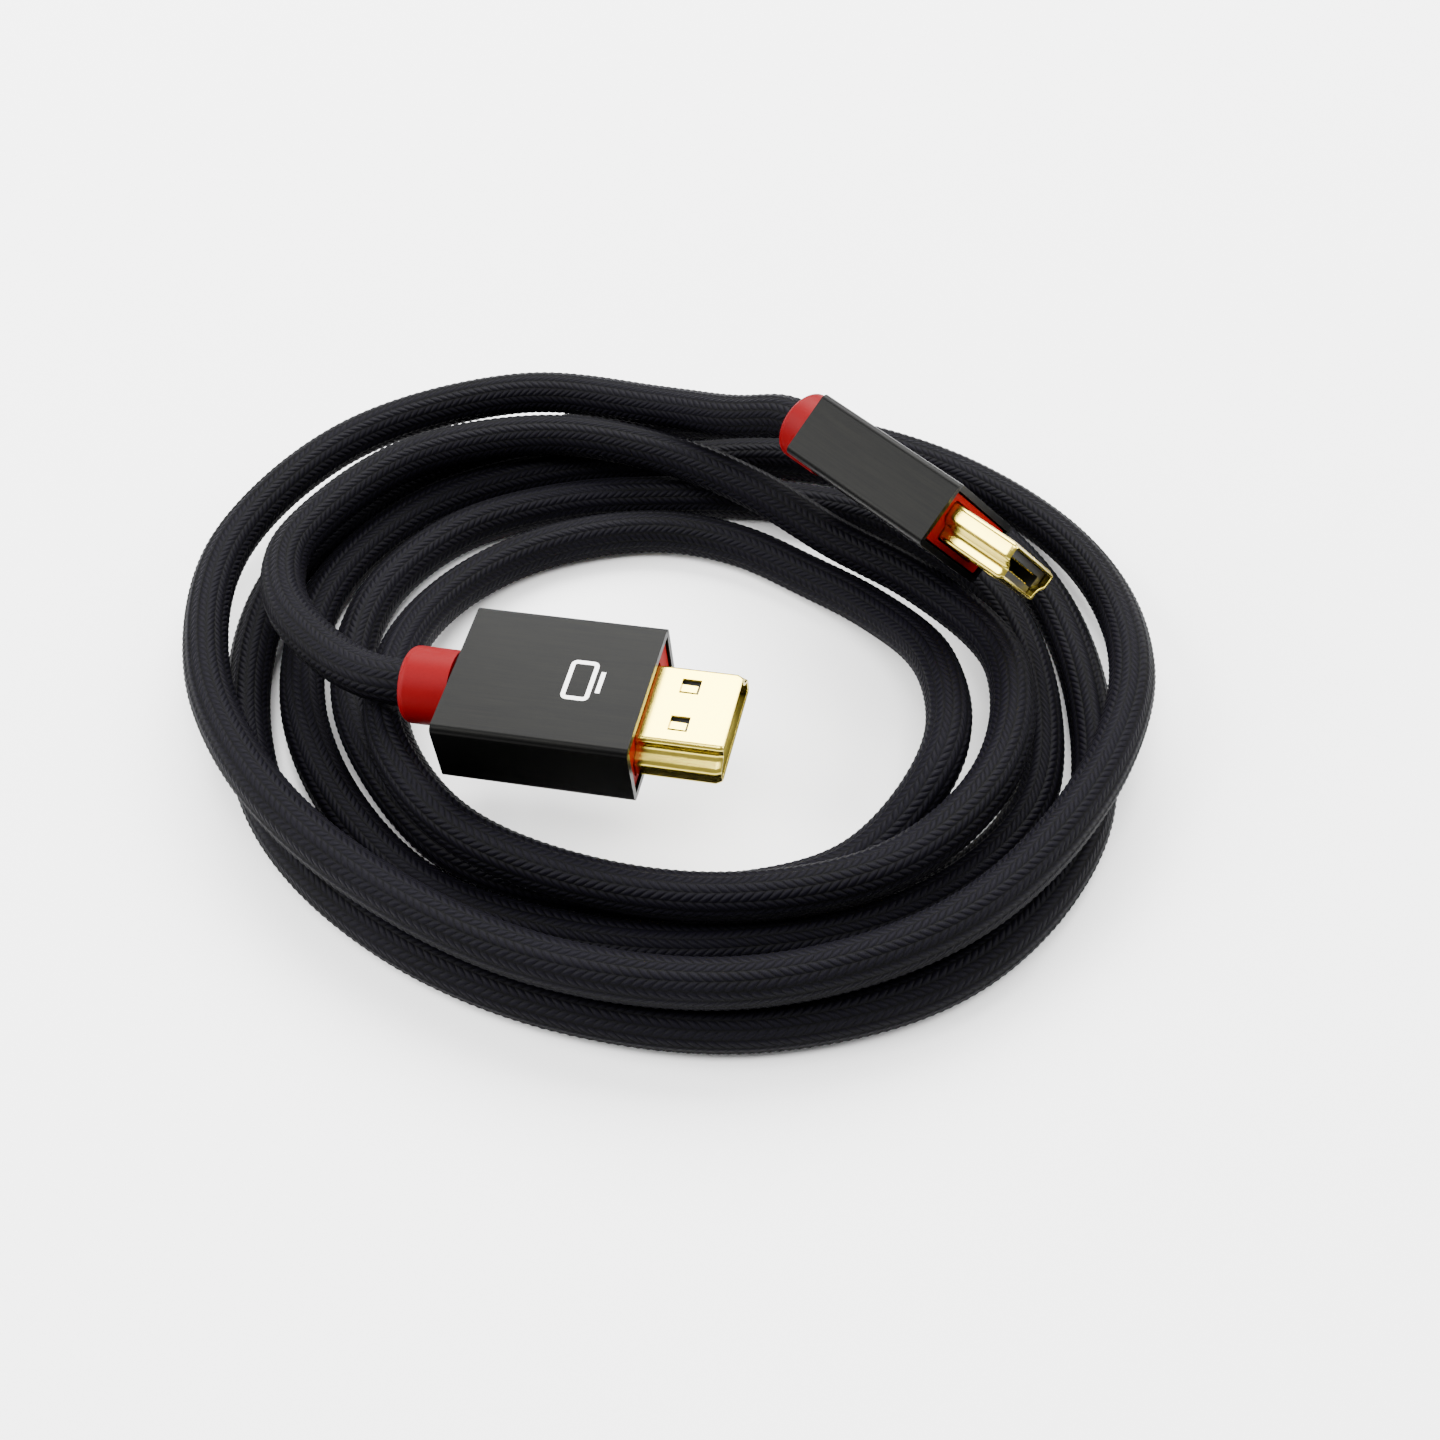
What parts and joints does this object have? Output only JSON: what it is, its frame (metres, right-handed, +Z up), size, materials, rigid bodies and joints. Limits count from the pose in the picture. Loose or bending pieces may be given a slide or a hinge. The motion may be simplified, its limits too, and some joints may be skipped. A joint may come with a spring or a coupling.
{
  "type": "video cable",
  "caption": "Braided digital video cable in a loose coil, a flat aluminium-sleeved plug with a gilt metal shell at each end",
  "frame": {"origin": "middle of the coil on the floor it lies on, under the centre of the bounding box", "axes": "+Z up out of the floor, the coil flat in X and Y, +Y away from the viewer of the picture, plug A near the middle of the coil pointing along +X"},
  "size_m": [0.116, 0.1044, 0.0276],
  "materials": {
    "braid": "black nylon braid over the round cable",
    "grey_aluminium": "dark grey anodised, fine satin",
    "red_plastic": "moulded red, soft sheen",
    "gilt_shell": "bright gold plating on a folded metal shell",
    "black_plastic": "moulded black"
  },
  "bodies": {
    "root": {"cable": "braid", "housing_a": "grey_aluminium", "nose_a": "red_plastic", "shell_a": "gilt_shell", "carrier_a": "black_plastic", "collar_a": "red_plastic", "housing_b": "grey_aluminium", "nose_b": "red_plastic", "shell_b": "gilt_shell", "carrier_b": "black_plastic", "collar_b": "red_plastic"}
  },
  "joints": []
}
